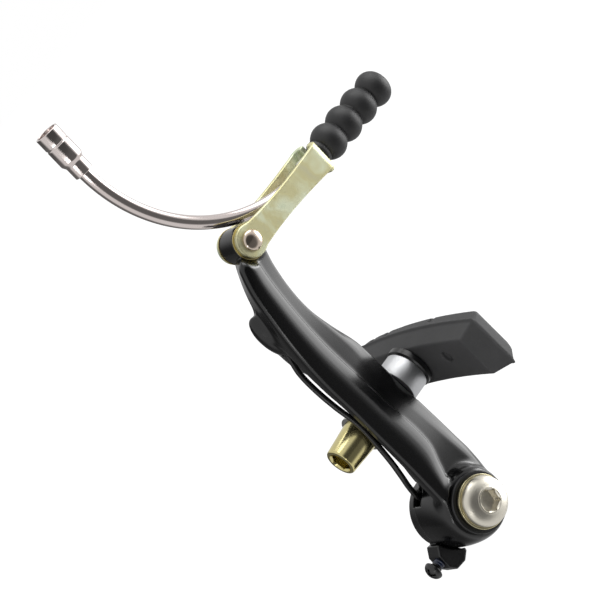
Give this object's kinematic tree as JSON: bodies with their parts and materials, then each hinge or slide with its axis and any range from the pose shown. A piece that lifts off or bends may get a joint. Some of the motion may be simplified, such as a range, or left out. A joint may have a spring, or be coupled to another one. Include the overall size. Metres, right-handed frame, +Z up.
{
  "type": "v-brake",
  "caption": "One arm of a linear-pull rim brake: black arm on a sprung pivot, with its pad on a threaded post, a folded link, a bent noodle and a ribbed boot.",
  "frame": {"origin": "on the pivot axis, in the plane where the bush meets the shoulder of the frame's boss", "axes": "+Z up the arm, +X towards the wheel rim, +Y along the pivot axis towards the frame, so the bolt's head faces -Y"},
  "size_m": [0.0843, 0.0586, 0.1488],
  "materials": {
    "arm_black_gloss": "gloss painted",
    "sleeve_black": "satin",
    "bush_steel": "plated",
    "washer_plated": "plated",
    "bolt_steel": "polished",
    "housing_black": "satin",
    "spring_black": "satin",
    "screw_black": "satin",
    "link_zinc": "iridescent plated",
    "brass_washer": "plated",
    "rivet_plated": "polished",
    "nose_bright": "polished",
    "noodle_plated": "polished",
    "liner_nylon": "matte",
    "ferrule_plated": "satin",
    "boot_rubber": "satin",
    "pad_rubber": "matte",
    "post_steel": "satin",
    "cup_black": "gloss",
    "spacer_aluminium": "brushed",
    "cup_plated": "plated",
    "nut_plated": "yellow plated"
  },
  "bodies": {
    "frame_side": {"pivot_bush": "bush_steel", "bolt_washer": "washer_plated", "pivot_bolt": "bolt_steel", "spring_housing": "housing_black", "return_spring": "spring_black"},
    "arm": {"brake_arm": "arm_black_gloss", "bearing_sleeve": "sleeve_black", "brake_pad": "pad_rubber", "pad_post": "post_steel", "pad_seat_washer": "cup_black", "inner_spacer": "spacer_aluminium", "outer_dome_washer": "cup_black", "outer_cup_washer": "cup_plated", "flat_washer": "cup_plated", "pad_nut": "nut_plated"},
    "screw": {"tension_screw": "screw_black"},
    "link": {"noodle_link": "link_zinc", "link_washers": "brass_washer", "link_rivet": "rivet_plated"},
    "noodle": {"noodle_nose": "nose_bright", "noodle_tube": "noodle_plated", "noodle_liner": "liner_nylon", "noodle_ferrule": "ferrule_plated", "cable_boot": "boot_rubber"}
  },
  "joints": [
    {"name": "arm_swing", "type": "hinge", "parent": "frame_side", "child": "arm", "pos_m": [0, 0, 0], "axis": [0, 1, 0], "range_deg": [-10, 25], "stiffness_Nm_per_rad": 0.6, "deforming": ["return_spring"]},
    {"name": "tension_screw_turn", "type": "hinge", "parent": "frame_side", "child": "screw", "pos_m": [-0.0148, -0.0035, -0.00625], "axis": [0.9971, 0, -0.0767], "continuous": true},
    {"name": "link_pivot", "type": "hinge", "parent": "arm", "child": "link", "pos_m": [0.0089, -0.0105, 0.08453], "axis": [0, 1, 0], "range_deg": [-60, 50]},
    {"name": "noodle_swivel", "type": "hinge", "parent": "link", "child": "noodle", "pos_m": [0.03887, -0.0105, 0.08322], "axis": [0.999, 0, -0.0436], "range_deg": [-15, 15]}
  ]
}
